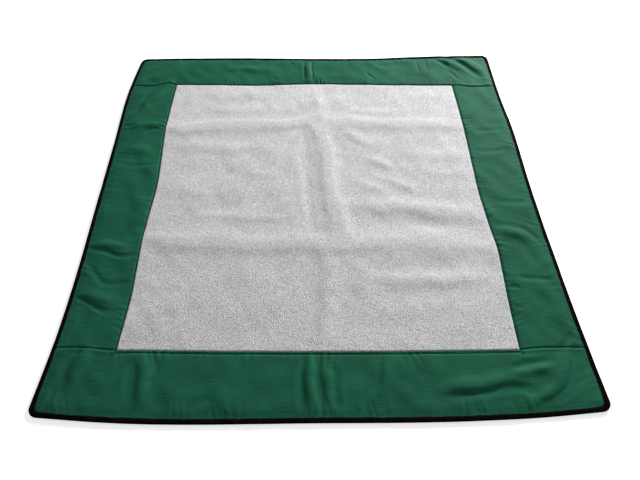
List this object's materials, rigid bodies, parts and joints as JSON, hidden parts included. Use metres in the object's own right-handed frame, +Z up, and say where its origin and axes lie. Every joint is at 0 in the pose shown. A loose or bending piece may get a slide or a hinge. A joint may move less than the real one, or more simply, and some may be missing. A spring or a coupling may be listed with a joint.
{
  "type": "folding game mat",
  "caption": "Square padded cloth mat for rolling dice and laying tiles, with a fleece centre, a cloth border and a bound edge; it folds in thirds, then in half",
  "frame": {"origin": "on the table under the middle of the mat", "axes": "X right, Y away from the player, Z up"},
  "size_m": [0.9144, 0.9144, 0.0036],
  "materials": {
    "fleece": "matte",
    "border_cloth": "matte",
    "backing_cloth": "matte",
    "wadding": "matte",
    "binding_tape": "satin"
  },
  "bodies": {
    "back_left": {"back_left_fleece": "fleece", "back_left_side_strip": "border_cloth", "back_left_wadding": "wadding", "back_left_backing": "backing_cloth", "back_left_binding": "binding_tape", "back_left_back_strip": "border_cloth"},
    "back_right": {"back_right_fleece": "fleece", "back_right_side_strip": "border_cloth", "back_right_wadding": "wadding", "back_right_backing": "backing_cloth", "back_right_binding": "binding_tape", "back_right_back_strip": "border_cloth"},
    "middle_left": {"middle_left_fleece": "fleece", "middle_left_side_strip": "border_cloth", "middle_left_wadding": "wadding", "middle_left_backing": "backing_cloth", "middle_left_binding": "binding_tape"},
    "middle_right": {"middle_right_fleece": "fleece", "middle_right_side_strip": "border_cloth", "middle_right_wadding": "wadding", "middle_right_backing": "backing_cloth", "middle_right_binding": "binding_tape"},
    "front_left": {"front_left_fleece": "fleece", "front_left_side_strip": "border_cloth", "front_left_wadding": "wadding", "front_left_backing": "backing_cloth", "front_left_binding": "binding_tape", "front_left_front_strip": "border_cloth"},
    "front_right": {"front_right_fleece": "fleece", "front_right_side_strip": "border_cloth", "front_right_wadding": "wadding", "front_right_backing": "backing_cloth", "front_right_binding": "binding_tape", "front_right_front_strip": "border_cloth"}
  },
  "joints": [
    {"name": "centre_fold", "type": "hinge", "parent": "middle_left", "child": "middle_right", "pos_m": [0, 0.03, 0.0152], "axis": [0, -1, 0], "range_deg": [0, 179.98]},
    {"name": "back_fold", "type": "hinge", "parent": "middle_left", "child": "back_left", "pos_m": [-0.2286, 0.195, 0.005], "axis": [1, 0, 0], "range_deg": [0, 179.98]},
    {"name": "back_fold_right", "type": "hinge", "parent": "middle_right", "child": "back_right", "pos_m": [0.2286, 0.195, 0.005], "axis": [1, 0, 0], "range_deg": [0, 179.98]},
    {"name": "front_fold", "type": "hinge", "parent": "middle_left", "child": "front_left", "pos_m": [-0.2286, -0.135, 0.0072], "axis": [-1, 0, 0], "range_deg": [0, 179.98]},
    {"name": "front_fold_right", "type": "hinge", "parent": "middle_right", "child": "front_right", "pos_m": [0.2286, -0.135, 0.0072], "axis": [-1, 0, 0], "range_deg": [0, 179.98]}
  ],
  "couplings": [
    {"joint": "back_fold_right", "follows": "back_fold", "ratio": 1},
    {"joint": "front_fold_right", "follows": "front_fold", "ratio": 1}
  ]
}
